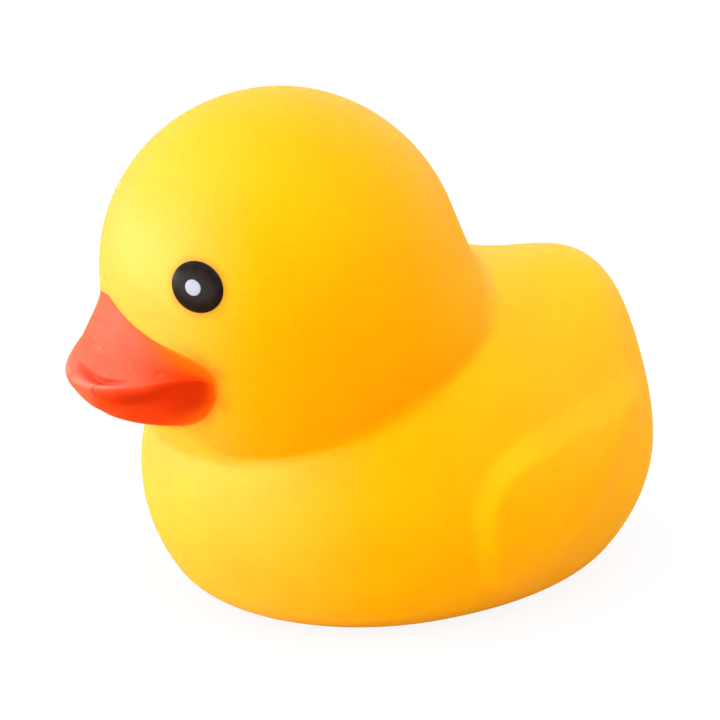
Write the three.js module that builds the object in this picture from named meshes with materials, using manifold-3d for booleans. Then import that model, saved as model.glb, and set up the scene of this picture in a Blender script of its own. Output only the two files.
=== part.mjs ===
// Squeezable bath duck: one hollow piece of soft vinyl with a bill, wings, a tail and raised eyes.
// Millimetres. +X is the way the duck faces, +Y its left, +Z up. The origin is on the flat base.
import * as THREE from "three";
import { LoftGeometry } from "three/addons/geometries/LoftGeometry.js";
import { ParametricGeometry } from "three/addons/geometries/ParametricGeometry.js";
import { mergeVertices } from "three/addons/utils/BufferGeometryUtils.js";
import Module from "manifold-3d";

const { clamp, degToRad, lerp, smoothstep } = THREE.MathUtils;

// Body: an egg lying along X, cut flat by the base
const BODY_FRONT = 35.8;
const BODY_REAR = 44.3;
const BODY_HALF_WIDTH = 31.2;
const BODY_WAIST = 19.5; // height of its widest ring
const BODY_ABOVE = 32.5; // from the widest ring to the egg's top
const BODY_BELOW = 29.9; // from the widest ring to the egg's bottom, past the cut
const BASE_ROUNDING = 5;

// Tail: an upright egg that leans back out of the body's rear
const TAIL_INSET = 16.1; // from the body's rear end to the tail's middle
const TAIL_LIFT = 13.9; // above the body's waist
const TAIL_LEAN = 20; // degrees
const TAIL_THICK = 8.3;
const TAIL_HALF_WIDTH = 13.7;
const TAIL_TALL = 14.2;
const TAIL_BLEND = 11;

// Head: a ball with full cheeks, drawn out downwards into the body
const HEAD_FORWARD = 14.1;
const HEAD_LIFT = 31.4; // above the body's waist
const HEAD_FRONT = 27.1;
const HEAD_REAR = 25.6;
const HEAD_HALF_WIDTH = 29.8;
const HEAD_ABOVE = 26.2;
const HEAD_BELOW = 35.2;

// Nape: a thick disc inside the head, lower behind, that spreads the back of the head
const NAPE_BACK = 7.5; // behind the head's middle
const NAPE_DROP = 5.4; // below the head's middle
const NAPE_TIP = 10; // degrees
const NAPE_LONG = 23.9;
const NAPE_HALF_WIDTH = 24.8;
const NAPE_THICK = 11.9;
const NAPE_BLEND = 8;

// Crease: the ring where the head meets the body, lower in front
const CREASE_FORWARD = 10;
const CREASE_LIFT = 17.2; // above the body's waist
const CREASE_TIP = 24; // degrees
const CREASE_BLEND = 2.8; // softness

// Wings: teardrops on the flanks, round in front, drawn out to a tip behind
const WING_BACK = 13.3; // from the origin back to the middle of the round end
const WING_LIFT = 0.7; // of that middle above the body's waist
const WING_ROUND = 10.7; // radius of the round end
const WING_LENGTH = 23.5; // from that middle to the middle of the tip
const WING_PITCH = 24; // degrees, the tip is the higher end
const WING_TIP = 3.2; // radius of the tip
const WING_FULLNESS = 1.6; // 1 tapers straight to the tip, more holds the round end's width for longer
const WING_RISE = 2;
const WING_LOW_RISE = 0.8; // along its lower edge
const WING_EDGE = 5; // width of the rounded edge
const WING_SINK = 0.3; // of its outline under the skin
const WING_ROOT = 0.8; // of its back under its outline

// Bill: a broad saddle that wraps the front of the head, with a rolled rim and a smiling mouth
const BILL_TURN = 52; // degrees from the front to each corner
const BILL_REACH = 8.8; // of the rim past the head, in front
const BILL_CORNER_REACH = 1.9; // of the rim past the head, near the corners
const BILL_SINK = 0.5; // of its edge under the head's skin
const BILL_ROOT = 1.2; // of its back under the head's skin
const BILL_TOP = { front: -0.6, corner: -4.6 }; // heights from the head's middle
const BILL_RIM = { front: -13.2, corner: -8 };
const BILL_MOUTH = { front: -17, corner: -9.6 };
const BILL_BOTTOM = { front: -19, corner: -12.6 };

// Eyes: low domes
const EYE_TURN = 44.5; // degrees from the front to each side
const EYE_LIFT = 11; // degrees above the head's middle
const EYE_DIAMETER = 7.8;
const EYE_RISE = 0.4;

// Shell
const WALL = 2.2;
const VENT_DIAMETER = 3;
const VENT_BACK = 12; // behind the origin

// Facets of the skin
const SKIN_COLUMNS = 66;
const SKIN_ROWS = 46;
const HOLLOW_COLUMNS = 32;
const HOLLOW_ROWS = 20;
const WING_COLUMNS = 56;
const WING_ROWS = 14;
const WING_CROWDING = 0.1;
const REAR_CROWDING = 0.3;
const CREASE_CROWDING = 0.25;

const bodyEgg = {
  x: 0,
  z: BODY_WAIST,
  pitch: 0,
  front: BODY_FRONT,
  rear: BODY_REAR,
  side: BODY_HALF_WIDTH,
  above: BODY_ABOVE,
  below: BODY_BELOW,
};
const tailEgg = {
  x: TAIL_INSET - BODY_REAR,
  z: BODY_WAIST + TAIL_LIFT,
  pitch: degToRad(TAIL_LEAN),
  front: TAIL_THICK,
  rear: TAIL_THICK,
  side: TAIL_HALF_WIDTH,
  above: TAIL_TALL,
  below: TAIL_TALL,
};
const headEgg = {
  x: HEAD_FORWARD,
  z: BODY_WAIST + HEAD_LIFT,
  pitch: 0,
  front: HEAD_FRONT,
  rear: HEAD_REAR,
  side: HEAD_HALF_WIDTH,
  above: HEAD_ABOVE,
  below: HEAD_BELOW,
};
const napeEgg = {
  x: headEgg.x - NAPE_BACK,
  z: headEgg.z - NAPE_DROP,
  pitch: degToRad(NAPE_TIP),
  front: NAPE_LONG,
  rear: NAPE_LONG,
  side: NAPE_HALF_WIDTH,
  above: NAPE_THICK,
  below: NAPE_THICK,
};

const wasm = await Module();
wasm.setup();

// About how far a point is outside an egg: quarter ellipsoids that meet at their widest ring.
function eggDistance(egg, x, y, z) {
  const ahead = Math.cos(egg.pitch) * (x - egg.x) + Math.sin(egg.pitch) * (z - egg.z);
  const over = Math.cos(egg.pitch) * (z - egg.z) - Math.sin(egg.pitch) * (x - egg.x);
  const long = ahead > 0 ? egg.front : egg.rear;
  const tall = over > 0 ? egg.above : egg.below;
  const share = Math.hypot(ahead / long, y / egg.side, over / tall);
  const slope = Math.hypot(ahead / long ** 2, y / egg.side ** 2, over / tall ** 2);
  return slope > 0 ? (share * (share - 1)) / slope : -Math.min(long, tall, egg.side);
}

// The smaller of two distances, with the corner between them filled over a blend width.
function smoothUnion(a, b, blend) {
  const near = Math.max(blend - Math.abs(a - b), 0) / blend;
  return Math.min(a, b) - (near * near * blend) / 4;
}

// About how far a point is outside the head and its nape.
function headDistance(x, y, z) {
  return smoothUnion(eggDistance(headEgg, x, y, z), eggDistance(napeEgg, x, y, z), NAPE_BLEND);
}

// About how far a point is outside the body, with its tail and flat base.
function bodyDistance(x, y, z) {
  const trunk = smoothUnion(eggDistance(bodyEgg, x, y, z), eggDistance(tailEgg, x, y, z), TAIL_BLEND);
  return -smoothUnion(-trunk, z, BASE_ROUNDING);
}

// About how far a point is outside the duck's skin, without what stands on it.
function skinDistance(x, y, z) {
  return smoothUnion(bodyDistance(x, y, z), headDistance(x, y, z), CREASE_BLEND);
}

// The last place on a ray at a depth under a surface: walk in from far away, then halve.
function surfaceAlong(surface, from, direction, depth) {
  const at = new THREE.Vector3();
  const buried = (distance) => {
    at.copy(direction).multiplyScalar(distance).add(from);
    return surface(at.x, at.y, at.z) < -depth;
  };
  let outside = BODY_FRONT + BODY_REAR;
  while (outside > 1 && !buried(outside - 1)) outside -= 1;
  let inside = outside - 1;
  while (outside - inside > 1e-7) {
    const middle = (inside + outside) / 2;
    if (buried(middle)) inside = middle;
    else outside = middle;
  }
  return at.copy(direction).multiplyScalar(outside).add(from);
}

// Unit direction out of a surface at a place.
function outwardFrom(surface, at) {
  const step = 0.01;
  const slope = (x, y, z) => surface(at.x + x, at.y + y, at.z + z) - surface(at.x - x, at.y - y, at.z - z);
  return new THREE.Vector3(slope(step, 0, 0), slope(0, step, 0), slope(0, 0, step)).normalize();
}

// A closed geometry as a solid that can be joined and cut.
function solidOf(geometry) {
  const bare = new THREE.BufferGeometry().setAttribute("position", geometry.getAttribute("position"));
  bare.setIndex(geometry.getIndex());
  const merged = mergeVertices(bare, 1e-3);
  const corners = merged.getIndex().array;
  const triVerts = [];
  for (let i = 0; i < corners.length; i += 3) {
    const [a, b, c] = corners.slice(i, i + 3);
    if (a !== b && b !== c && c !== a) triVerts.push(a, b, c);
  }
  const vertProperties = merged.getAttribute("position").array;
  const mesh = new wasm.Mesh({ numProp: 3, vertProperties, triVerts: new Uint32Array(triVerts) });
  return new wasm.Manifold(mesh);
}

// A solid as a geometry for a mesh.
function geometryOf(solid) {
  const mesh = solid.getMesh();
  const geometry = new THREE.BufferGeometry();
  geometry.setAttribute("position", new THREE.BufferAttribute(mesh.vertProperties, 3));
  geometry.setIndex(new THREE.BufferAttribute(mesh.triVerts, 1));
  geometry.computeVertexNormals();
  return geometry;
}

// The skin at a depth, as rays from the crease's middle: rings about the crease's own axis, closer near
// the crease, with the rays of a ring closer behind, where the wings and the tail are.
function skinSolid(depth, columns, rows) {
  const middle = new THREE.Vector3(CREASE_FORWARD, 0, BODY_WAIST + CREASE_LIFT);
  const tip = new THREE.Quaternion().setFromAxisAngle(new THREE.Vector3(0, 1, 0), degToRad(CREASE_TIP));
  const direction = new THREE.Vector3();
  const ray = (u, v, target) => {
    const turn = 2 * Math.PI * u + REAR_CROWDING * Math.sin(2 * Math.PI * u);
    const height = 2 * v - 1;
    const lift = (Math.PI / 2) * height * lerp(1 - CREASE_CROWDING, 1, Math.abs(height));
    direction.set(Math.cos(turn) * Math.cos(lift), Math.sin(turn) * Math.cos(lift), Math.sin(lift));
    target.copy(surfaceAlong(skinDistance, middle, direction.applyQuaternion(tip), depth));
  };
  return solidOf(new ParametricGeometry(ray, columns, rows));
}

// Half the width of a wing, at a distance along it from its round end's middle.
function wingHalfWidth(along) {
  return lerp(WING_ROUND, WING_TIP, clamp(along / WING_LENGTH, 0, 1) ** WING_FULLNESS);
}

// How far inside a wing's outline a place is.
function wingInside(along, across) {
  return wingHalfWidth(along) - Math.hypot(along - clamp(along, 0, WING_LENGTH), across);
}

// How far a wing's outline is from halfway along it, in a direction.
function wingRadius(turn) {
  let inside = 0;
  let outside = WING_LENGTH + WING_ROUND + WING_TIP;
  while (outside - inside > 1e-6) {
    const middle = (inside + outside) / 2;
    if (wingInside(WING_LENGTH / 2 + middle * Math.cos(turn), middle * Math.sin(turn)) > 0) inside = middle;
    else outside = middle;
  }
  return inside;
}

// A wing: a pad that follows the flank, with a rounded edge, lower along its underside.
// Its rings are closer near the edge, and its rays closer near the tip.
function wingSolid(side) {
  const pitch = degToRad(WING_PITCH);
  const sideways = new THREE.Vector3(0, side, 0);
  const surface = (u, v, target) => {
    const turn = (2 * Math.PI * u - WING_CROWDING * Math.sin(2 * Math.PI * u)) * side;
    const radius = Math.sin(Math.PI * v) * wingRadius(turn);
    const along = WING_LENGTH / 2 + radius * Math.cos(turn);
    const across = radius * Math.sin(turn);
    const back = WING_BACK + along * Math.cos(pitch) - across * Math.sin(pitch);
    const up = BODY_WAIST + WING_LIFT + along * Math.sin(pitch) + across * Math.cos(pitch);
    const edge = smoothstep(wingInside(along, across), 0, WING_EDGE);
    const rise = lerp(WING_LOW_RISE, WING_RISE, smoothstep(across, -wingHalfWidth(along), 0)) + WING_SINK;
    const out = v > 0.5 ? rise * edge - WING_SINK : -WING_SINK - WING_ROOT * edge;
    target.copy(surfaceAlong(bodyDistance, new THREE.Vector3(-back, 0, up), sideways, 0));
    target.addScaledVector(outwardFrom(bodyDistance, target), out);
  };
  return solidOf(new ParametricGeometry(surface, WING_COLUMNS, WING_ROWS));
}

// One upright section of the bill, at a turn from the front: a loop that goes out over the rim
// and back under the skin.
function billSection(turn) {
  const share = turn / BILL_TURN;
  const angle = degToRad(turn);
  const smile = Math.sin((Math.PI / 2) * share) ** 2;
  const height = (guide, rise) => headEgg.z + lerp(guide.front, guide.corner, rise);
  const round = Math.max(1 - share ** 2, 0);
  const reach = (BILL_REACH - BILL_CORNER_REACH) * round ** 4 + BILL_CORNER_REACH * Math.sqrt(round);
  const direction = new THREE.Vector3(Math.cos(angle), Math.sin(angle), 0);
  const place = (z, out) => {
    const at = surfaceAlong(headDistance, new THREE.Vector3(headEgg.x, 0, z), direction, 0);
    return at.addScaledVector(direction, out);
  };

  const top = height(BILL_TOP, smile);
  const rim = height(BILL_RIM, smile);
  const mouth = height(BILL_MOUTH, smile);
  const bottom = height(BILL_BOTTOM, Math.abs(share) ** 3);
  const outline = [
    [top, 0],
    [lerp(top, rim, 0.3), 0.22],
    [lerp(top, rim, 0.6), 0.5],
    [lerp(top, rim, 0.86), 0.8],
    [rim, 1],
    [lerp(rim, mouth, 0.6), 0.95],
    [mouth, 0.84],
    [lerp(mouth, bottom, 0.35), 0.82],
    [lerp(mouth, bottom, 0.85), 0.64],
    [bottom, 0],
  ].map(([z, out]) => place(z, out * reach - BILL_SINK));
  const face = new THREE.CatmullRomCurve3(outline).getPoints(24);
  const back = [bottom, mouth, rim, top].map((z) => place(z, -BILL_ROOT));
  return [...face, ...back];
}

function billSolid() {
  const steps = 32;
  const sections = [];
  for (let i = 0; i <= steps; i += 1) {
    sections.push(billSection(BILL_TURN * ((2 * i) / steps - 1)));
  }
  return solidOf(new LoftGeometry(sections, { capStart: true, capEnd: true }));
}

// An eye: a low dome whose rim lies on the head's curve.
function eyeSolid(side) {
  const turn = degToRad(EYE_TURN) * side;
  const lift = degToRad(EYE_LIFT);
  const direction = new THREE.Vector3(
    Math.cos(turn) * Math.cos(lift),
    Math.sin(turn) * Math.cos(lift),
    Math.sin(lift),
  );
  const middle = surfaceAlong(headDistance, new THREE.Vector3(headEgg.x, 0, headEgg.z), direction, 0);
  const out = outwardFrom(headDistance, middle);
  const radius = EYE_DIAMETER / 2;
  const sag = radius ** 2 / (2 * HEAD_FRONT);
  const dome = new THREE.SphereGeometry(1, 28, 12);
  dome.scale(radius, EYE_RISE + sag, radius);
  dome.applyQuaternion(new THREE.Quaternion().setFromUnitVectors(new THREE.Vector3(0, 1, 0), out));
  dome.translate(...middle.addScaledVector(out, -sag));
  return solidOf(dome);
}

function ventSolid() {
  const hole = new THREE.CylinderGeometry(VENT_DIAMETER / 2, VENT_DIAMETER / 2, 4 * WALL, 24);
  hole.rotateX(Math.PI / 2);
  hole.translate(-VENT_BACK, 0, 0);
  return solidOf(hole);
}

function duckGeometry() {
  let outside = skinSolid(0, SKIN_COLUMNS, SKIN_ROWS).add(billSolid());
  for (const side of [1, -1]) outside = outside.add(wingSolid(side)).add(eyeSolid(side));
  const hollow = skinSolid(WALL, HOLLOW_COLUMNS, HOLLOW_ROWS).add(ventSolid());
  return geometryOf(outside.subtract(hollow));
}

const vinyl = new THREE.MeshStandardMaterial({ color: 0xfcc424, roughness: 0.45, metalness: 0 });
const duck = new THREE.Mesh(duckGeometry(), vinyl);
duck.name = "duck";
const group = new THREE.Group();
group.add(duck);

export default group;
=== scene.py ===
import math

import bpy
import numpy as np
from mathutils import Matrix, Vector


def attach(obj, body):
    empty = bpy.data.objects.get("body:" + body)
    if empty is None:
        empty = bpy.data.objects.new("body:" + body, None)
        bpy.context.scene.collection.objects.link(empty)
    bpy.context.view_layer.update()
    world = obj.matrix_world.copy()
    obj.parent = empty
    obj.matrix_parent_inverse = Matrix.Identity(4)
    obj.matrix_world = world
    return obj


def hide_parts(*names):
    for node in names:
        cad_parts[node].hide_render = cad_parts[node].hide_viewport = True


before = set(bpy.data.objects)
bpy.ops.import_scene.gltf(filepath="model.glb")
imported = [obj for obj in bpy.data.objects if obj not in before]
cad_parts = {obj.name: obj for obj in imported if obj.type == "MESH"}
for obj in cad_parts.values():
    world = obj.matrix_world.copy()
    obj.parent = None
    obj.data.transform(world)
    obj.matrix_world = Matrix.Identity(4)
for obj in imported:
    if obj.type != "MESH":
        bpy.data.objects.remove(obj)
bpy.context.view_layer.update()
print("frame loaded, nodes:", sorted(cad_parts))

mm = 0.001  # every shape below is worked out in millimetres


# smooth rise from 0 at low to 1 at high: 3t^2 - 2t^3
def easeUp(value, low, high):
    t = np.clip((value - low) / (high - low), 0, 1)
    return t * t * (3 - 2 * t)


# the same rise between two distances past an edge
def easePast(value, edge, low, high):
    return easeUp(value, edge + low, edge + high)


# a bell of a given half width: exp(-(value / width)^2)
def bell(value, width):
    return np.exp(-((value / width) ** 2))


# straight mix of two values by a share
def mixOf(a, b, share):
    return a + (b - a) * share


# a vector over its own length
def unit(vector):
    return vector / np.linalg.norm(vector)


# quarter ellipsoids that meet at their widest ring: share * (share - 1) / slope, about the distance outside
def eggDistance(egg, x, y, z):
    ahead = np.cos(egg["pitch"]) * (x - egg["x"]) + np.sin(egg["pitch"]) * (z - egg["z"])
    over = np.cos(egg["pitch"]) * (z - egg["z"]) - np.sin(egg["pitch"]) * (x - egg["x"])
    long = np.where(ahead > 0, egg["front"], egg["rear"])
    tall = np.where(over > 0, egg["above"], egg["below"])
    share = np.sqrt((ahead / long) ** 2 + (y / egg["side"]) ** 2 + (over / tall) ** 2)
    slope = np.sqrt((ahead / long**2) ** 2 + (y / egg["side"] ** 2) ** 2 + (over / tall**2) ** 2)
    return share * (share - 1) / np.maximum(slope, 1e-9)


# the smaller of two distances, less near^2 * blend / 4 where they are within the blend of each other
def smoothUnion(a, b, blend):
    near = np.maximum(blend - np.abs(a - b), 0) / blend
    return np.minimum(a, b) - near * near * blend / 4


# where rays leave a surface: the distance along each is halved between inside and outside
def castOut(surface, origin, direction, reach=90.0, halvings=36):
    inner = np.zeros(direction.shape[:-1])
    outer = np.full(direction.shape[:-1], reach)
    for _ in range(halvings):
        middle = (inner + outer) / 2
        at = origin + direction * middle[..., None]
        buried = surface(at[..., 0], at[..., 1], at[..., 2]) < 0
        inner = np.where(buried, middle, inner)
        outer = np.where(buried, outer, middle)
    return origin + direction * outer[..., None]


# unit direction out of a surface: its slope along each axis by central differences
def outwardOf(surface, at, step=0.02):
    slope = []
    for shift in step * np.eye(3):
        slope.append(surface(*np.moveaxis(at + shift, -1, 0)) - surface(*np.moveaxis(at - shift, -1, 0)))
    slope = np.stack(slope, axis=-1)
    return slope / np.linalg.norm(slope, axis=-1, keepdims=True)


# normals of a grid of points: the cross product of its two tangents
def gridNormals(grid):
    across = np.gradient(grid, axis=1)
    along = np.gradient(grid, axis=0)
    normal = np.cross(along, across)
    return normal / np.maximum(np.linalg.norm(normal, axis=-1, keepdims=True), 1e-9)


# a curve through points, each piece a cubic whose end slopes are half the step between the neighbours
def splineThrough(points, count):
    last = points.shape[-2] - 1
    place = np.linspace(0, last, count)
    step = np.minimum(place.astype(int), last - 1)
    f = (place - step)[:, None]
    before = 2 * points[..., :1, :] - points[..., 1:2, :]
    after = 2 * points[..., -1:, :] - points[..., -2:-1, :]
    padded = np.concatenate([before, points, after], axis=-2)
    a, b, c, d = (padded[..., step + n, :] for n in range(4))
    cubic = (3 * b - a - 3 * c + d) * f**3 + (2 * a - 5 * b + 4 * c - d) * f**2 + (c - a) * f + 2 * b
    return cubic / 2, place


# a closed grid of points as a mesh: quads between neighbours, wrapped round along axis 1,
# with points at one place welded, so that a row drawn to a point becomes a pole
def meshFromGrid(name, grid, masks=None):
    rows, columns = grid.shape[:2]
    number = np.arange(rows * columns).reshape(rows, columns)
    number = np.concatenate([number, number[:, :1]], axis=1)
    quads = [number[:-1, :-1], number[1:, :-1], number[1:, 1:], number[:-1, 1:]]
    quads = np.stack(quads, axis=-1).reshape(-1, 4)
    flat = grid.reshape(-1, 3)
    _, first, where = np.unique(np.round(flat, 5), axis=0, return_index=True, return_inverse=True)
    points = flat[first] * mm
    quads = where.reshape(-1)[quads]
    a, b, c, d = quads.T
    whole = (a != b) & (b != c) & (c != d) & (d != a) & (a != c) & (b != d)
    corners = points[quads[whole]]
    turned = np.cross(corners[:, 2] - corners[:, 0], corners[:, 3] - corners[:, 1])
    outside = (turned * (corners.mean(axis=1) - points.mean(axis=0))).sum() > 0
    halves = np.concatenate([quads[~whole][:, [0, 1, 2]], quads[~whole][:, [0, 2, 3]]])
    a, b, c = halves.T
    halves = halves[(a != b) & (b != c) & (c != a)]
    faces = quads[whole].tolist() + halves.tolist()
    if not outside:
        faces = [face[::-1] for face in faces]
    mesh = bpy.data.meshes.new(name)
    mesh.from_pydata(points.tolist(), [], faces)
    mesh.validate()
    mesh.shade_smooth()
    for mask, values in (masks or {}).items():
        layer = mesh.attributes.new(mask, "FLOAT", "POINT")
        layer.data.foreach_set("value", values.reshape(-1)[first].astype(np.float32))
    piece = bpy.data.objects.new(name, mesh)
    bpy.context.scene.collection.objects.link(piece)
    print(f"{name}: {len(mesh.vertices)} points, {len(mesh.polygons)} faces")
    return piece


# a socket of a material's nodes, with arithmetic: each operator adds one Math node
class Wire:
    def __init__(self, tree, socket=None):
        self.tree = tree
        self.socket = socket

    # any node: its settings first, then a value or a link for each socket, and the output asked for
    def node(self, kind, settings=None, sockets=None, give=0):
        made = self.tree.nodes.new(kind)
        for name, value in (settings or {}).items():
            setattr(made, name, value)
        for name, value in (sockets or {}).items():
            if isinstance(value, Wire):
                self.tree.links.new(value.socket, made.inputs[name])
            else:
                made.inputs[name].default_value = value
        return Wire(self.tree, made.outputs[give] if made.outputs else None)

    # one Math node on values or wires, in the order of its sockets
    def maths(self, operation, *values):
        return self.node("ShaderNodeMath", {"operation": operation}, dict(enumerate(values)))

    def __add__(self, other):
        return self.maths("ADD", self, other)

    def __radd__(self, other):
        return self.maths("ADD", other, self)

    def __sub__(self, other):
        return self.maths("SUBTRACT", self, other)

    def __rsub__(self, other):
        return self.maths("SUBTRACT", other, self)

    def __mul__(self, other):
        return self.maths("MULTIPLY", self, other)

    def __rmul__(self, other):
        return self.maths("MULTIPLY", other, self)

    # this cover with another where it leaves room: a + b * (1 - a)
    def joined(self, other):
        return self + other * (1 - self)

    # smooth rise from 0 at low to 1 at high
    def ease(self, low, high):
        settings = {"interpolation_type": "SMOOTHSTEP"}
        sockets = {"Value": self, "From Min": low, "From Max": high}
        return self.node("ShaderNodeMapRange", settings, sockets)

    # noise on the piece's own coordinates, about 0.5 all over; a squash below 1 draws it out along that axis
    def noise(self, size, detail=2.0, roughness=0.5, squash=(1, 1, 1)):
        at = self.node("ShaderNodeTexCoord", give="Object")
        at = self.node("ShaderNodeVectorMath", {"operation": "MULTIPLY"}, {0: at, 1: squash})
        sockets = {"Vector": at, "Scale": 1 / (size * mm), "Detail": detail, "Roughness": roughness}
        return self.node("ShaderNodeTexNoise", None, sockets)

    # a value kept on the mesh's points
    def mask(self, name):
        return self.node("ShaderNodeAttribute", {"attribute_name": name}, give="Fac")

    # straight mix of two colours by a factor
    def mixColour(self, factor, a, b):
        return self.node("ShaderNodeMix", {"data_type": "RGBA"}, {"Factor": factor, 6: a, 7: b}, give=2)

    # bump of a height in millimetres, on top of another bump if there is one
    def bump(self, height, depth, strength=1.0, under=None):
        sockets = {"Height": height, "Distance": depth * mm, "Strength": strength}
        if under is not None:
            sockets["Normal"] = under
        return self.node("ShaderNodeBump", None, sockets)


# a colour as the sockets take it, opaque
def rgb(red, green, blue):
    return (red, green, blue, 1.0)


# a material with one Principled shader: recipe(wire) gives the sockets that vary, fixed the ones that don't
def makeMaterial(name, recipe, fixed):
    material = bpy.data.materials.new(name)
    material.use_nodes = True
    tree = material.node_tree
    tree.nodes.clear()
    wire = Wire(tree)
    shader = wire.node("ShaderNodeBsdfPrincipled", None, {**fixed, **recipe(wire)})
    wire.node("ShaderNodeOutputMaterial", None, {"Surface": shader})
    return material


# every piece is part of the one moulding, so it rides on the root
def finishPiece(piece, material):
    piece.data.materials.append(material)
    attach(piece, "root")
    return piece


# camera: looks at the duck's left front from a little above
cameraPlan = {
    "turn": 69.2,  # degrees from the way the duck faces to the side the camera is on
    "lift": 20.6,  # degrees above the horizon
    "distance": 450,
    "target": (2.441, 0, 34.661),
    "sensor": 36,
    "lens": 150,
    "clip": (0.01, 100),  # metres
}


# the unit direction at a turn from the way the duck faces and a lift above level, both in degrees
def directionAt(turn, lift):
    turn, lift = math.radians(turn), math.radians(lift)
    return Vector((math.cos(turn) * math.cos(lift), math.sin(turn) * math.cos(lift), math.sin(lift)))


# a camera or a lamp at a distance from the camera's target, turned to face it
def aimAtDuck(name, data, away, distance):
    thing = bpy.data.objects.new(name, data)
    thing.location = (Vector(cameraPlan["target"]) + away * distance) * mm
    thing.rotation_mode = "QUATERNION"
    thing.rotation_quaternion = (-away).to_track_quat("-Z", "Y")
    bpy.context.scene.collection.objects.link(thing)
    return thing


# the camera at its turn, lift and distance
def makeCamera(plan):
    data = bpy.data.cameras.new("camera")
    data.sensor_width = plan["sensor"]
    data.lens = plan["lens"]
    data.clip_start, data.clip_end = plan["clip"]
    away = directionAt(plan["turn"], plan["lift"])
    bpy.context.scene.camera = aimAtDuck("camera", data, away, plan["distance"])


makeCamera(cameraPlan)
print("camera placed")

# skin: body, tail, nape and head in one moulding, with a raised wing on each flank
bodyEgg = {
    "x": 0, "z": 19.5, "pitch": 0,
    "front": 35.8, "rear": 44.3, "side": 31.2, "above": 32.5, "below": 29.9,
}
tailEgg = {
    "x": -28.2, "z": 33.4, "pitch": math.radians(20),
    "front": 8.3, "rear": 8.3, "side": 13.7, "above": 14.2, "below": 14.2,
}
headEgg = {
    "x": 14.1, "z": 50.9, "pitch": 0,
    "front": 27.1, "rear": 25.6, "side": 29.8, "above": 26.2, "below": 35.2,
}
napeEgg = {
    "x": 6.6, "z": 45.5, "pitch": math.radians(10),
    "front": 23.9, "rear": 23.9, "side": 24.8, "above": 11.9, "below": 11.9,
}
skinPlan = {
    "rows": 250,
    "columns": 372,
    "opening": 0.11,  # radians about the vent that its own rings fill
    "tailBlend": 11,
    "napeBlend": 8,
    "creaseMiddle": (10, 0, 36.7),
    "creaseBlend": (1.8, 0.9),  # elsewhere, and under the chin
    "chin": (12, 24),
    "baseRounding": 5,
}
wingPlan = {
    "back": 13.5,  # the round end's middle, behind the origin
    "height": 20.2,
    "round": 10.7,  # radius of the round end
    "tip": 4.6,
    "length": 23.5,
    "pitch": math.radians(27.5),
    "fullness": 1.6,
    "rise": (2.0, 1.2),  # at the round end and at the tip
    "edge": (3.3, 6.5),
    "droop": 0.58,  # heights below the axis count this much, which draws the wing out downwards
    "upright": 0.75,  # 1 draws it out straight down, 0 square to the axis
    "fade": 18,  # below the axis, where the wing has sunk into the flank
    "bend": 6,  # softness of the turn from round to drawn out
}
seamPlan = {"x": 10.8, "height": 17.3, "rise": 0.07, "width": 0.8, "reach": 4.5}
ventPlan = {
    "back": 12,
    "radius": 1.5,
    "lip": 0.35,
    "lipRings": 5,
    "apron": 3,  # flat round the lip, in lips
    "wall": 2.2,
    "pocket": 7,  # radius
    "pocketEdge": 0.5,
    "pocketTall": 6,
}
headMiddle = np.array([headEgg["x"], 0, headEgg["z"]])


# a teardrop: the distance inside its outline is half width less distance to its axis; below the axis it is
# drawn out downwards, where it fades; the relief eases up over the edge's width
def wingRelief(x, z):
    plan = wingPlan
    back, up = -x - plan["back"], z - plan["height"]
    across = up * np.cos(plan["pitch"]) - back * np.sin(plan["pitch"])
    below = (across - np.hypot(across, plan["bend"])) / 2
    along = back * np.cos(plan["pitch"]) + up * np.sin(plan["pitch"])
    along = along - plan["upright"] * below * np.tan(plan["pitch"])
    share = np.clip(along / plan["length"], 0, 1)
    half = mixOf(plan["round"], plan["tip"], share ** plan["fullness"])
    drawn = np.where(across < 0, across * plan["droop"], across)
    inside = half - np.hypot(along - share * plan["length"], drawn)
    edge = np.minimum(mixOf(*plan["edge"], share), half)
    return mixOf(*plan["rise"], share) * easeUp(inside, 0, edge) * easeUp(across, -plan["fade"], 0)


# a short trace of the mould upright on the left flank: a bell across times a bell along
def seamRelief(x, y, z):
    plan = seamPlan
    across = bell(x - plan["x"], plan["width"])
    return plan["rise"] * across * bell(z - plan["height"], plan["reach"]) * (y > 0)


# head and nape, joined softly
def headDistance(x, y, z):
    head, nape = (eggDistance(egg, x, y, z) for egg in (headEgg, napeEgg))
    return smoothUnion(head, nape, skinPlan["napeBlend"])


# body and tail, raised by the wings and the seam, cut flat at the base
def bodyDistance(x, y, z):
    body, tail = (eggDistance(egg, x, y, z) for egg in (bodyEgg, tailEgg))
    trunk = smoothUnion(body, tail, skinPlan["tailBlend"])
    raised = trunk - wingRelief(x, z) - seamRelief(x, y, z)
    return -smoothUnion(-raised, z, skinPlan["baseRounding"])


# body and head, joined at the crease, which is tighter under the chin
def skinDistance(x, y, z):
    blend = mixOf(*skinPlan["creaseBlend"], easeUp(x, *skinPlan["chin"]))
    return smoothUnion(bodyDistance(x, y, z), headDistance(x, y, z), blend)


# the vent as rings of a radius and a height: round its lip, up through the wall and out to a small pocket
def ventRings(vent, facing):
    lip, hole, wall = ventPlan["lip"], ventPlan["radius"], ventPlan["wall"]
    pocket, top = ventPlan["pocket"], wall + ventPlan["pocketTall"]
    bend = np.linspace(0, math.pi / 2, ventPlan["lipRings"])
    radii = [hole + ventPlan["apron"] * lip, *(hole + lip * (1 - np.sin(bend))), hole, pocket, pocket, 0]
    heights = [0, *(lip * (1 - np.cos(bend))), wall, wall + ventPlan["pocketEdge"], top, top]
    reach, height = np.array(radii)[:, None], np.array(heights)[:, None]
    rings = [vent[0] + reach * np.cos(facing), reach * np.sin(facing), height + 0 * facing]
    return np.stack(rings, axis=-1)


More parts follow.
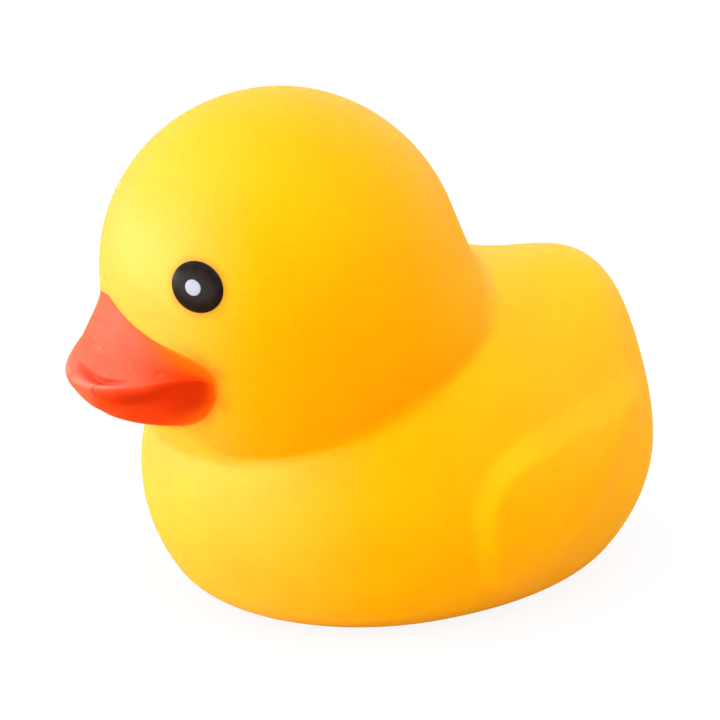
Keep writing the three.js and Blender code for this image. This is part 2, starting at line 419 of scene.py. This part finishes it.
# rays from the crease's middle in rings about a line to the vent, then the vent's own rings
def makeSkin():
    middle = np.array(skinPlan["creaseMiddle"])
    vent = np.array([-ventPlan["back"], 0, 0])
    down = unit(vent - middle)
    side = np.array([0, 1, 0])
    ahead = np.cross(down, side)
    ring = np.linspace(0, math.pi - skinPlan["opening"], skinPlan["rows"])[:, None, None]
    turn = np.linspace(0, 2 * math.pi, skinPlan["columns"], endpoint=False)[None, :, None]
    direction = np.sin(ring) * (np.cos(turn) * ahead + np.sin(turn) * side) - np.cos(ring) * down
    skin = castOut(skinDistance, middle, direction)
    return np.concatenate([skin, ventRings(vent, turn[..., 0])])


# bill: a saddle that wraps the front of the head, with a rolled upper lip, a mouth hollow and a lower lip;
# turns are degrees from the front, heights are from the head's middle
billPlan = {
    "rows": 190,
    "columns": 400,
    "crowding": 0.4,  # of the columns towards the corners
    "turn": 50,  # to each corner
    "fullTurn": 54,  # that shares of the turn are measured over
    "arc": 0.47,  # millimetres to a degree on the head
    "cornerHeight": -9,
    "cornerRound": 9,
    "top": -1.1,
    "topFall": 3.6,
    "topTurn": 45,
    "topPower": 0.7,
    "bottom": (-18.8, -13.2),  # at the front, and at the full turn
    "bottomPower": 3,
    "rim": (-13.2, -8),
    "mouth": (-17, -9.6),
    "reach": 6.9,
    "reachPower": 4,
    "cornerReach": 1.35,
    "lift": 0.02,
    "root": 1.2,
    # guides of a section between two heights: share of the way down, share of the reach
    "saddle": ((0.08, 0.02), (0.3, 0.18), (0.6, 0.48), (0.86, 0.77)),
    "upperLip": ((0.6, 0.94),),
    "mouthReach": 0.85,
    "lowerLip": ((0.35, 0.77), (0.85, 0.6)),
    "backs": (0.04, 0.3, 0.7, 0.96),  # shares of the way up the buried back
}
# relief and paint of the bill: shares are of the turn, places count the guides from the top
foldPlan = {
    "depth": 1.05,
    "place": 3.85,
    "sink": 0.25,  # further down past these shares
    "sinkShares": (0.05, 0.25),
    "starts": (-0.04, 0.01),
    "opens": (0, 0.12),
    "ends": (0.2, 0.46),
    "startDepth": 0.6,  # share of the depth where it starts
    "above": 0.1,  # width of its upper side, and of its lower side at the start and where it is open
    "below": (0.16, 0.29),
}
nickPlan = {
    "depth": 0.35,
    "share": 0.222,
    "width": 0.006,
    "sway": 0.007,
    "swayPlace": 4.4,
    "swayLength": 1.3,
    "starts": (4.15, 4.4),
    "ends": (5.5, 5.8),
}
dentPlan = {"depth": 0.16, "share": 0.575, "place": 3.48, "stretch": (27, 2.6), "width": 0.6}
mouthPlan = {
    "depth": 0.22,
    "lineShares": (0.2, 0.225, 0.344, 0.463, 0.606, 0.744, 0.9),
    "linePlaces": (5.5, 5.65, 6.36, 6.74, 6.92, 6.85, 6.95),  # of the line between the lips
    "edgeShares": (0.1, 0.25, 0.41, 0.5, 0.59, 0.7, 0.85, 1),
    "edgePlaces": (6.4, 4.8, 4.9, 5, 4.7, 4, 3.2, 2.6),  # of the upper lip's lower edge
    "sinks": (-0.6, 1.1),  # past the edge
    "rises": (-0.55, 0.2),  # past the line
    "starts": (0.2, 0.27),
    "ends": (0.5, 0.92),
}
# painted shade in the mouth hollow and in the nick
shadePlan = {
    "deepens": 1.0,  # past the edge, with a softness to each side of that
    "soft": (0.1, 0.8),
    "softShares": (0.5, 0.8),
    "starts": (0.2, 0.4),
    "lowerLip": 0.75,  # share that the lower lip loses
    "lowerPlaces": (-0.2, 0.9),  # past the line
    "lowerShares": (0.4, 0.75),
    "nick": 0.6,
}
# painted sheen on the bill's upper side: where it ends, and what it loses in a band above the lip and in the
# fold, where painted shade takes its place
paintedSheenPlan = {
    "ends": (-0.3, 1.1),  # past the edge
    "endShares": (0.3, 0.72),
    "band": 0.26,  # share lost in a band above the lip
    "bandPlace": 3.1,
    "bandWidth": 0.9,
    "fold": 0.55,  # share lost in the fold
    "foldBelow": 0.12,
    "foldWidth": 0.26,
}
# painted highlight along the rolled lip's crest
crestHighlightPlan = {"place": 4.62, "width": 0.26, "starts": (0, 0.05), "ends": (0.26, 0.42)}


# outline of the paint, as heights at turns from the front: the top falls by a sine squared,
# the bottom rises by a cube, and both close in on the corner as sqrt(1 - t^9)
def billOutline(turn):
    plan = billPlan
    aside = np.abs(turn)
    close = np.sqrt(1 - np.clip(aside / plan["turn"], 0, 1) ** plan["cornerRound"])
    corner = plan["cornerHeight"]
    fall = np.sin(math.pi / 2 * np.clip(aside / plan["topTurn"], 0, 1) ** plan["topPower"]) ** 2
    top = plan["top"] - plan["topFall"] * fall
    bottom = mixOf(*plan["bottom"], (aside / plan["fullTurn"]) ** plan["bottomPower"])
    return corner + (top - corner) * close, corner + (bottom - corner) * close, close


# upright sections round the head: points on the head's surface pushed out by shares of the reach, then
# points buried under it; gives the points by section and how many of each section show
def billSections(turn):
    plan = billPlan
    share = np.abs(turn) / plan["fullTurn"]
    smile = np.sin(math.pi / 2 * share) ** 2
    top, bottom, close = billOutline(turn)
    corner = plan["cornerHeight"]
    rim = corner + (mixOf(*plan["rim"], smile) - corner) * close
    mouth = corner + (mixOf(*plan["mouth"], smile) - corner) * close
    rounded = np.maximum(1 - share**2, 0)
    reach = plan["reach"] * rounded ** plan["reachPower"] + plan["cornerReach"] * rounded * close
    guides = [(top, 0)]
    guides += [(mixOf(top, rim, down), out) for down, out in plan["saddle"]]
    guides += [(rim, 1)]
    guides += [(mixOf(rim, mouth, down), out) for down, out in plan["upperLip"]]
    guides += [(mouth, plan["mouthReach"])]
    guides += [(mixOf(mouth, bottom, down), out) for down, out in plan["lowerLip"]]
    guides += [(bottom, 0)]
    backs = [mixOf(bottom, top, up) for up in plan["backs"]]
    z = headEgg["z"] + np.stack([height for height, _ in guides] + backs)
    out = [s * reach + plan["lift"] for _, s in guides] + [-plan["root"] * close] * len(backs)
    angle = np.radians(turn)
    direction = np.stack([np.cos(angle), np.sin(angle), 0 * angle], axis=-1) + 0 * z[..., None]
    origin = np.stack([headEgg["x"] + 0 * z, 0 * z, z], axis=-1)
    points = castOut(headDistance, origin, direction) + direction * np.stack(out)[..., None]
    return np.moveaxis(points, 0, 1), len(guides)


# the fold at the end of the rolled lip, on the left only: a bell of the distance from its line, steeper above
# than below, times a span that eases in and out; gives that distance, the span and the depth pressed in
def foldOn(aside, place):
    plan = foldPlan
    away = place - plan["place"] - plan["sink"] * easeUp(np.abs(aside), *plan["sinkShares"])
    opened = easeUp(aside, *plan["opens"])
    span = easeUp(aside, *plan["starts"]) * mixOf(plan["startDepth"], 1, opened)
    span = span * (1 - easeUp(aside, *plan["ends"]))
    below = bell(away, mixOf(*plan["below"], opened))
    return away, span, plan["depth"] * span * np.where(away < 0, bell(away, plan["above"]), below)


# the nick in the rolled lip, on the left only: a narrow bell about a line that sways by a sine
def nickOn(aside, place):
    plan = nickPlan
    sway = plan["sway"] * np.sin(math.pi * (place - plan["swayPlace"]) / plan["swayLength"])
    nick = bell(aside - plan["share"] + sway, plan["width"])
    return nick * (easeUp(place, *plan["starts"]) * (1 - easeUp(place, *plan["ends"])))


# how deep the bill is pressed in: the fold, the mouth hollow between the lips' edges, the nick and the dent,
# and with it the masks of its paint: painted shade in the mouth and the nick, a painted sheen on the upper
# side, a painted highlight along the lip's crest
def billRelief(aside, place):
    share = np.abs(aside)
    foldAway, foldSpan, press = foldOn(aside, place)
    nick = nickOn(aside, place)
    line = np.interp(share, mouthPlan["lineShares"], mouthPlan["linePlaces"])
    edge = np.interp(share, mouthPlan["edgeShares"], mouthPlan["edgePlaces"])
    hollow = easePast(place, edge, *mouthPlan["sinks"]) * (1 - easePast(place, line, *mouthPlan["rises"]))
    hollow = mouthPlan["depth"] * hollow * easeUp(share, *mouthPlan["starts"])
    press = press + hollow * (1 - easeUp(share, *mouthPlan["ends"])) + nickPlan["depth"] * nick
    aroundDent = (share - dentPlan["share"], place - dentPlan["place"])
    fromDent = np.hypot(*(away * stretch for away, stretch in zip(aroundDent, dentPlan["stretch"])))
    press = press + dentPlan["depth"] * bell(fromDent, dentPlan["width"])
    # painted shade in the mouth hollow, less on the lower lip, and in the nick
    lower = shadePlan["lowerLip"] * easePast(place, line, *shadePlan["lowerPlaces"])
    lower = 1 - lower * (1 - easeUp(share, *shadePlan["lowerShares"]))
    soft = mixOf(*shadePlan["soft"], easeUp(share, *shadePlan["softShares"]))
    shade = easePast(place, edge, -soft, shadePlan["deepens"] + soft)
    shade = shade * lower * easeUp(share, *shadePlan["starts"])
    shade = np.maximum(shade, shadePlan["nick"] * nick)
    # painted sheen on the upper side, less in a band above the lip and in the fold, as painted shade
    paintedSheen = (1 - easePast(place, edge, *paintedSheenPlan["ends"])) * (1 - easeUp(share, *paintedSheenPlan["endShares"]))
    paintedSheen *= 1 - paintedSheenPlan["band"] * bell(place - paintedSheenPlan["bandPlace"], paintedSheenPlan["bandWidth"])
    inFold = bell(foldAway - paintedSheenPlan["foldBelow"], paintedSheenPlan["foldWidth"])
    paintedSheen *= 1 - paintedSheenPlan["fold"] * inFold * foldSpan
    # painted highlight along the lip's crest
    crestHighlight = bell(place - crestHighlightPlan["place"], crestHighlightPlan["width"]) * easeUp(share, *crestHighlightPlan["starts"])
    crestHighlight = crestHighlight * (1 - easeUp(share, *crestHighlightPlan["ends"]))
    return press, {"shade": shade, "paintedSheen": paintedSheen, "crestHighlight": crestHighlight}


# +1 where a grid's normals point away from the head's middle, else -1
def sideSign(grid):
    return np.sign((gridNormals(grid) * (grid - headMiddle)).sum())


# each section is a spline through its guides, with the relief pressed in along the normals, closed by its
# back; the mask inset is the least distance to the top, the bottom and the corner
def makeBill():
    plan = billPlan
    even = np.linspace(-1, 1, plan["columns"])
    crowded = (1 - plan["crowding"]) * even + plan["crowding"] * np.sin(math.pi / 2 * even)
    turn = plan["turn"] * crowded
    points, shown = billSections(turn)
    front, place = splineThrough(points[:, :shown], plan["rows"])
    aside = turn[:, None] / plan["fullTurn"]
    press, masks = billRelief(aside, place)
    front = front - gridNormals(front) * sideSign(front) * press[..., None]
    top, bottom, _ = billOutline(turn)
    height = front[..., 2] - headEgg["z"]
    inset = np.minimum(top[:, None] - height, height - bottom[:, None])
    inset = np.minimum(inset, (plan["turn"] - np.abs(turn))[:, None] * plan["arc"])
    masks |= {"inset": inset, "share": np.abs(aside) + 0 * inset, "place": place + 0 * inset}
    grid = np.concatenate([front, points[:, shown:]], axis=1)
    backs = grid.shape[1] - front.shape[1]
    return grid, {name: np.pad(values, ((0, 0), (0, backs))) for name, values in masks.items()}


# eyes: low oval domes with a rounded rim, each with a white dot
eyePlan = {
    "middle": (34.16, 19.42, 56.46),
    "radii": (4.27, 3.55),
    "lean": math.radians(-8.1),  # of the long radius, from level
    "rise": 0.5,
    "under": 0.6,
    "halo": 0.7,
    "haloDepth": 3,  # the haze stays within this of the eye's plane
}
dotPlan = {
    "middle": (34.57, 19.41, 56.44),
    "radii": (1.3, 1.1),
    "lean": math.radians(-12.5),
    "rise": 0.09,
    "under": 0.1,
}
domePlan = {"rings": 26, "columns": 72, "square": 4, "round": 0.6, "cap": 0.9, "start": 20, "reach": 60}


# the eye's top is the head's surface moved out by the eye's rise
def eyeSurface(x, y, z):
    return headDistance(x, y, z) - eyePlan["rise"]


# where an oval sits on a surface: its middle, the way out, and its long and short radius as vectors
def ovalSeat(plan, surface):
    at = castOut(surface, headMiddle, unit(np.array(plan["middle"]) - headMiddle))
    out = outwardOf(surface, at)
    level = unit(np.cross([0, 0, 1], out))
    upright = np.cross(out, level)
    lean = plan["lean"]
    long = plan["radii"][0] * (np.cos(lean) * level + np.sin(lean) * upright)
    short = plan["radii"][1] * (np.cos(lean) * upright - np.sin(lean) * level)
    return at, out, long, short


# rings on the tangent plane, s times the oval's radii, dropped onto the surface, then raised by
# rise * (1 - s^4)^0.6, and closed by a cap under the skin
def makeDome(plan, side, surface):
    at, out, long, short = ovalSeat(plan, surface)
    s = np.sin(np.linspace(0, math.pi / 2, domePlan["rings"]))
    height = plan["rise"] * (1 - s ** domePlan["square"]) ** domePlan["round"]
    s = np.concatenate([s, [1.0, domePlan["cap"], 0.0]])
    height = np.concatenate([height, [-plan["under"]] * 3])
    turn = np.linspace(0, 2 * math.pi, domePlan["columns"], endpoint=False)
    flat = s[:, None, None] * (np.cos(turn)[:, None] * long + np.sin(turn)[:, None] * short)
    seat = castOut(surface, at + flat - domePlan["start"] * out, out + 0 * flat, domePlan["reach"])
    grid = seat + outwardOf(surface, seat) * height[:, None, None]
    return grid * np.array([1, side, 1])


# a darker ring round each eye: a bell of the distance outside the oval
def haloOn(grid):
    at, out, long, short = ovalSeat(eyePlan, headDistance)
    near = grid * np.array([1, 0, 1]) + np.abs(grid) * np.array([0, 1, 0]) - at
    share = np.hypot(near @ long / (long @ long), near @ short / (short @ short))
    outside = np.maximum(share - 1, 0) * np.linalg.norm(short)
    return bell(outside, eyePlan["halo"]) * (np.abs(near @ out) < eyePlan["haloDepth"])


# vinyl: where the bill's overspray, the body's tone and the polish lie on the skin
sprayPlan = {"cornerShare": 0.98, "spread": 1.7, "turns": (30, 50)}
# the head's tone is darker than the body's, partly the vinyl's own tone and partly painted shade
trunkPlan = {
    "chin": (5, 25),
    "start": (0.1, -1),  # behind, and at the chin
    "width": (1.3, 0.9),
    "throat": 3,  # further up right under the bill
    "throatFront": (19, 28),
    "throatNarrow": 0.5,
}
polishPlan = {
    "middle": 6,
    "start": (22, 42),  # degrees from the way the duck faces, on the head and on the body
    "width": (30, 44),
    "crown": (58, 76),
    "tail": 0.2,
    "tailBack": (-6, 26),
    "tailHeight": (12, 30),
}


# overspray round the bill's corners: a bell of the distance outside the outline, strongest at the corner
def oversprayOn(grid):
    x, y, z = np.moveaxis(grid, -1, 0)
    turn = np.abs(np.degrees(np.arctan2(y, x - headEgg["x"])))
    height = z - headEgg["z"]
    corner = billPlan["turn"] * sprayPlan["cornerShare"]
    top, bottom, _ = billOutline(np.clip(turn, 0, corner))
    aside = np.maximum(turn - corner, 0) * billPlan["arc"]
    above = np.maximum(np.maximum(height - top, bottom - height), 0)
    spread = bell(np.hypot(aside, above), sprayPlan["spread"])
    return spread * easeUp(turn, *sprayPlan["turns"]) * (x > headEgg["x"]) * (height < 0)


# 0 on the head and 1 on the body: an ease of one distance less the other, which starts
# a little up the head at the front, so that the body's paler tone, there painted light, reaches under the
# bill
def trunkOn(grid):
    plan = trunkPlan
    x, y, z = np.moveaxis(grid, -1, 0)
    chin = easeUp(x, *plan["chin"])
    throat = easeUp(x - plan["throatNarrow"] * np.abs(y), *plan["throatFront"])
    start = mixOf(*plan["start"], chin) - plan["throat"] * throat
    nearer = headDistance(x, y, z) - bodyDistance(x, y, z)
    return easeUp(nearer, start, start + mixOf(*plan["width"], chin))


# 1 on the face and chest, which are handled most, less on the tail, and 0 on the flanks and crown: an ease
# of the turn from the way the duck faces, times an ease of the height
def polishOn(grid):
    plan = polishPlan
    x, y, z = np.moveaxis(grid, -1, 0)
    turn = np.degrees(np.arctan2(np.abs(y), x - plan["middle"]))
    trunk = trunkOn(grid)
    start = mixOf(*plan["start"], trunk)
    face = 1 - easeUp(turn, start, start + mixOf(*plan["width"], trunk))
    tail = plan["tail"] * easeUp(-x, *plan["tailBack"]) * easeUp(z, *plan["tailHeight"])
    return face * (1 - easeUp(z, *plan["crown"])) + tail


# sizes of noise and depths of bump are in millimetres
vinylPlan = {
    # the head is darker than the body, partly its own tone and partly painted shade
    "head": rgb(0.85, 0.46, 0.0005),
    "body": rgb(0.92, 0.54, 0.002),
    "warm": rgb(0.92, 0.45, 0.001),
    "spray": rgb(0.95, 0.25, 0.0005),
    "haze": rgb(0.5, 0.2, 0.001),
    "mottle": 9,
    "mottleShare": 0.25,
    "hazeShare": 0.5,
    "roughness": (0.4, 0.12),
    "roughnessSize": 4,
    "wave": 7,
    "waveBump": (0.25, 0.12),  # depth and strength
    "grain": 1.1,
    "grainBump": (0.03, 0.2),
}
mottleEase = (0.35, 0.65)


# the head's tone and the body's by the trunk mask, the head darker partly as painted shade, a warm mottle,
# then the bill's overspray and a darker ring round each eye
def vinylRecipe(wire):
    plan = vinylPlan
    mottle = wire.noise(plan["mottle"], 3).ease(*mottleEase)
    tone = wire.mixColour(wire.mask("trunk"), plan["head"], plan["body"])
    tone = wire.mixColour(mottle * plan["mottleShare"], tone, plan["warm"])
    tone = wire.mixColour(wire.mask("spray"), tone, plan["spray"])
    colour = wire.mixColour(wire.mask("halo") * plan["hazeShare"], tone, plan["haze"])
    grain = wire.noise(plan["grain"], 3, 0.55)
    swell = wire.bump(wire.noise(plan["wave"], 1), *plan["waveBump"])
    least, more = plan["roughness"]
    return {
        "Base Color": colour,
        "Roughness": least + more * wire.noise(plan["roughnessSize"], 2),
        "Coat Weight": wire.mask("polish"),
        "Normal": wire.bump(grain, *plan["grainBump"], swell),
    }


vinylFixed = {
    "IOR": 1.45,
    "Specular Tint": rgb(1, 0.85, 0.04),
    "Coat Roughness": 0.68,
    "Coat IOR": 1.7,
    "Subsurface Weight": 1.0,
    "Subsurface Radius": (0.022, 0.0014, 0.0006),
    "Subsurface Scale": 1.0,
}

# the pale colour is a painted sheen, the deep one a painted shade in the mouth, the chalk one both chalky
# marks and a painted highlight on the lip's crest
billColours = {
    "paint": rgb(0.78, 0.042, 0.003),
    "paleSheen": rgb(0.87, 0.116, 0.073),
    "mouthShade": rgb(0.5, 0.019, 0.0002),
    "thin": rgb(0.88, 0.122, 0.0002),
    "chalkAndHighlight": rgb(0.95, 0.3, 0.2),
}
# where the paint is worn: eases of the inset, the share of the turn and the place, and the most it loses
billWear = {
    "upper": {"inset": (0.6, 3.6), "share": (0.35, 0.8), "place": (2.5, 5.0)},
    "corner": {"inset": (-0.8, 2.6), "share": (0.45, 0.8), "most": 0.85},
    "under": {"inset": (0.0, 4.0), "share": (0.4, 0.7), "place": (7.0, 9.0), "most": 0.5},
    "fringe": {"inset": (0.1, 1.4), "share": (0.12, 0.35), "place": (2.0, 4.0), "most": 0.4},
    "edge": {"inset": (-0.2, 0.75), "share": (0.45, 0.75)},
}
# specks, cracks and pits on the front of the upper side: size of the noise and the ease it goes through
billMarks = {
    "share": (0.3, 0.5),
    "top": (1.2, 2.6),
    "bottom": (3.5, 3.9),
    "speck": (0.8, (0.63, 0.75)),
    "crack": (2.4, (0.0, 0.03)),
    "crackSquash": (1, 1, 0.45),
    "crackPatch": (3.5, (0.48, 0.62)),
    "pit": (0.9, (0.64, 0.74)),
    "chalkAndHighlight": {"crack": 0.3, "speck": 0.45, "crestHighlight": 0.4},
    "bump": (0.1, 0.8),
    "mottle": 3.2,
    "paintedSheen": (0.8, 0.2),
    "grain": 0.9,
    "grainBump": (0.05, 0.3),
    "roughness": (0.42, 0.16),
    "roughnessSize": 2.5,
}


# the paint is paler on the upper side, a painted sheen, and darker in the mouth, a painted shade, with a
# painted highlight along the lip's crest; it is thinner, and lets the yellow through, near its outline
# towards the corners; specks and pits crowd the front of the upper side
def billRecipe(wire):
    share, place, inset = wire.mask("share"), wire.mask("place"), wire.mask("inset")
    wear, marks = billWear, billMarks

    # worn near the outline and towards the corner: (1 - ease of the inset) * ease of the share
    def wornAt(zone):
        return (1 - inset.ease(*wear[zone]["inset"])) * share.ease(*wear[zone]["share"])

    # the upper side paler by a painted sheen, mottled
    least, more = marks["paintedSheen"]
    mottle = wire.noise(marks["mottle"], 3).ease(*mottleEase)
    paintedSheen = wire.mask("paintedSheen") * (least + more * mottle)
    paint = wire.mixColour(paintedSheen, billColours["paint"], billColours["paleSheen"])
    # painted shade in the mouth hollow and the nick
    paint = wire.mixColour(wire.mask("shade"), paint, billColours["mouthShade"])
    upper = wornAt("upper") * (1 - place.ease(*wear["upper"]["place"]))
    corner = wornAt("corner") * wear["corner"]["most"]
    under = wornAt("under") * place.ease(*wear["under"]["place"]) * wear["under"]["most"]
    fringe = wornAt("fringe") * (1 - place.ease(*wear["fringe"]["place"])) * wear["fringe"]["most"]
    thin = upper.joined(corner.joined(under)).joined(fringe)
    paint = wire.mixColour(thin, paint, billColours["thin"])
    paint = wire.mixColour(wornAt("edge"), paint, vinylPlan["spray"])
    front = (1 - share.ease(*marks["share"])) * place.ease(*marks["top"])
    front = front * (1 - place.ease(*marks["bottom"]))
    speckSize, speckEase = marks["speck"]
    speck = wire.noise(speckSize, 2, 0.6).ease(*speckEase) * front
    crackSize, crackEase = marks["crack"]
    patchSize, patchEase = marks["crackPatch"]
    wrinkle = wire.noise(crackSize, 2, 0.6, marks["crackSquash"]) - 0.5
    crack = 1 - wire.maths("ABSOLUTE", wrinkle).ease(*crackEase)
    crack = crack * wire.noise(patchSize, 1).ease(*patchEase) * front
    # chalky cracks and specks, and a painted highlight along the lip's crest
    chalkAndHighlight = crack * marks["chalkAndHighlight"]["crack"] + speck * marks["chalkAndHighlight"]["speck"]
    chalkAndHighlight = chalkAndHighlight + wire.mask("crestHighlight") * marks["chalkAndHighlight"]["crestHighlight"]
    paint = wire.mixColour(chalkAndHighlight, paint, billColours["chalkAndHighlight"])
    pitSize, pitEase = marks["pit"]
    pit = wire.noise(pitSize, 1).ease(*pitEase) * front
    grain = wire.bump(wire.noise(marks["grain"], 3, 0.6), *marks["grainBump"])
    least, more = marks["roughness"]
    return {
        "Base Color": paint,
        "Roughness": least + more * wire.noise(marks["roughnessSize"], 2),
        "Normal": wire.bump(speck + crack - pit, *marks["bump"], grain),
    }


billFixed = {
    "IOR": 1.38,
    "Specular Tint": rgb(1, 0.2, 0.03),
    "Subsurface Weight": 0.15,
    "Subsurface Radius": (0.004, 0.001, 0.0005),
    "Subsurface Scale": 1.0,
}

eyePaint = {
    "black": (rgb(0.006, 0.0033, 0.0034), rgb(0.011, 0.0066, 0.007)),  # fresh and worn
    "wear": (1.6, (0.45, 0.75)),
    "blackRoughness": (0.33, 0.12),
    "scratch": 0.35,
    "scratchBump": (0.02, 0.2),
    "white": (rgb(0.4, 0.465, 0.61), rgb(0.37, 0.43, 0.575)),  # clean and smeared
    "smear": (0.8, (0.4, 0.7)),
    "whiteRoughness": (0.3, 0.1),
}
paintFixed = {"IOR": 1.5, "Specular IOR Level": 0.11}


# black paint, greyer and rougher by a noise of wear, with fine scratches
def eyeRecipe(wire):
    size, rise = eyePaint["wear"]
    wear = wire.noise(size, 3).ease(*rise)
    least, more = eyePaint["blackRoughness"]
    return {
        "Base Color": wire.mixColour(wear, *eyePaint["black"]),
        "Roughness": least + more * wear,
        "Normal": wire.bump(wire.noise(eyePaint["scratch"], 2), *eyePaint["scratchBump"]),
    }


# white paint, duller by a noise of smears
def dotRecipe(wire):
    size, rise = eyePaint["smear"]
    smear = wire.noise(size, 2).ease(*rise)
    least, more = eyePaint["whiteRoughness"]
    return {
        "Base Color": wire.mixColour(smear, *eyePaint["white"]),
        "Roughness": least + more * smear,
    }


vinyl = makeMaterial("vinyl", vinylRecipe, vinylFixed)
billPaint = makeMaterial("billPaint", billRecipe, billFixed)
eyeBlack = makeMaterial("eyeBlack", eyeRecipe, paintFixed)
eyeWhite = makeMaterial("eyeWhite", dotRecipe, paintFixed)
print("materials ready")

skinGrid = makeSkin()
skinMasks = {"spray": oversprayOn(skinGrid), "trunk": trunkOn(skinGrid)}
skinMasks |= {"halo": haloOn(skinGrid), "polish": polishOn(skinGrid)}
skin = finishPiece(meshFromGrid("duckSkin", skinGrid, skinMasks), vinyl)
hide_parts("duck")
finishPiece(meshFromGrid("bill", *makeBill()), billPaint)
for side, label in ((1, "Left"), (-1, "Right")):
    finishPiece(meshFromGrid("eye" + label, makeDome(eyePlan, side, headDistance)), eyeBlack)
    finishPiece(meshFromGrid("eyeDot" + label, makeDome(dotPlan, side, eyeSurface)), eyeWhite)
print("duck built")

# light: a wide window low on the camera's left, and weaker lamps round the other sides;
# turns are from the camera's side, to the right in the picture
lightPlan = {
    "room": 0.84,
    "white": rgb(1, 1, 1),
    "paper": rgb(0.85, 0.5, 0.12),  # warms the light that comes back up
    "floorHalf": 3000,
    "floorSeen": 0.9,  # share of plain white in the floor for the camera, and for gloss below
    "floorGloss": 0.1,
    "lamps": {
        "windowLamp": {"turn": -77, "lift": 5, "distance": 600, "size": (1100, 170), "power": 3.4},
        "frontLamp": {"turn": -10, "lift": 30, "distance": 600, "size": (500, 500), "power": 0.15},
        "overheadLamp": {"turn": 8, "lift": 66, "distance": 600, "size": (500, 500), "power": 1.5},
        "highLamp": {"turn": -105, "lift": 52, "distance": 600, "size": (500, 500), "power": 0.95},
    },
}


# a flat lamp at a turn from the camera's side, a lift and a distance
def makeLamp(name, plan):
    data = bpy.data.lights.new(name, "AREA")
    data.shape = "RECTANGLE"
    data.size, data.size_y = (side * mm for side in plan["size"])
    data.energy = plan["power"]
    away = directionAt(cameraPlan["turn"] + plan["turn"], plan["lift"])
    aimAtDuck(name, data, away, plan["distance"])


# the same white light from all sides
def makeRoom(plan):
    world = bpy.data.worlds.new("room")
    world.use_nodes = True
    world.node_tree.nodes.clear()
    wire = Wire(world.node_tree)
    back = wire.node("ShaderNodeBackground", None, {"Color": plan["white"], "Strength": plan["room"]})
    wire.node("ShaderNodeOutputWorld", None, {"Surface": back})
    bpy.context.scene.world = world


# floor: white paper that takes the shadow, mixed with plain white by a share for the camera's rays,
# and by another for rays from gloss and through clear stuff
def makeFloor(plan):
    half = plan["floorHalf"] * mm
    corners = [(-half, -half, 0), (half, -half, 0), (half, half, 0), (-half, half, 0)]
    mesh = bpy.data.meshes.new("floor")
    mesh.from_pydata(corners, [], [(0, 1, 2, 3)])
    floor = bpy.data.objects.new("floor", mesh)
    bpy.context.scene.collection.objects.link(floor)
    material = bpy.data.materials.new("floorPaper")
    material.use_nodes = True
    material.node_tree.nodes.clear()
    wire = Wire(material.node_tree)
    kinds = ("Camera", "Glossy", "Transmission")
    ray = {kind: wire.node("ShaderNodeLightPath", give=f"Is {kind} Ray") for kind in kinds}
    factor = ray["Camera"] * plan["floorSeen"] + (ray["Glossy"] + ray["Transmission"]) * plan["floorGloss"]
    tone = wire.mixColour(ray["Camera"], plan["paper"], plan["white"])
    paper = wire.node("ShaderNodeBsdfDiffuse", None, {"Color": tone})
    white = wire.node("ShaderNodeEmission", None, {"Color": plan["white"], "Strength": 1.0})
    both = wire.node("ShaderNodeMixShader", None, {0: factor, 1: paper, 2: white})
    wire.node("ShaderNodeOutputMaterial", None, {"Surface": both})
    mesh.materials.append(material)


for name, plan in lightPlan["lamps"].items():
    makeLamp(name, plan)
makeRoom(lightPlan)
makeFloor(lightPlan)
bpy.context.scene.view_settings.view_transform = "Standard"
print("light and floor set")
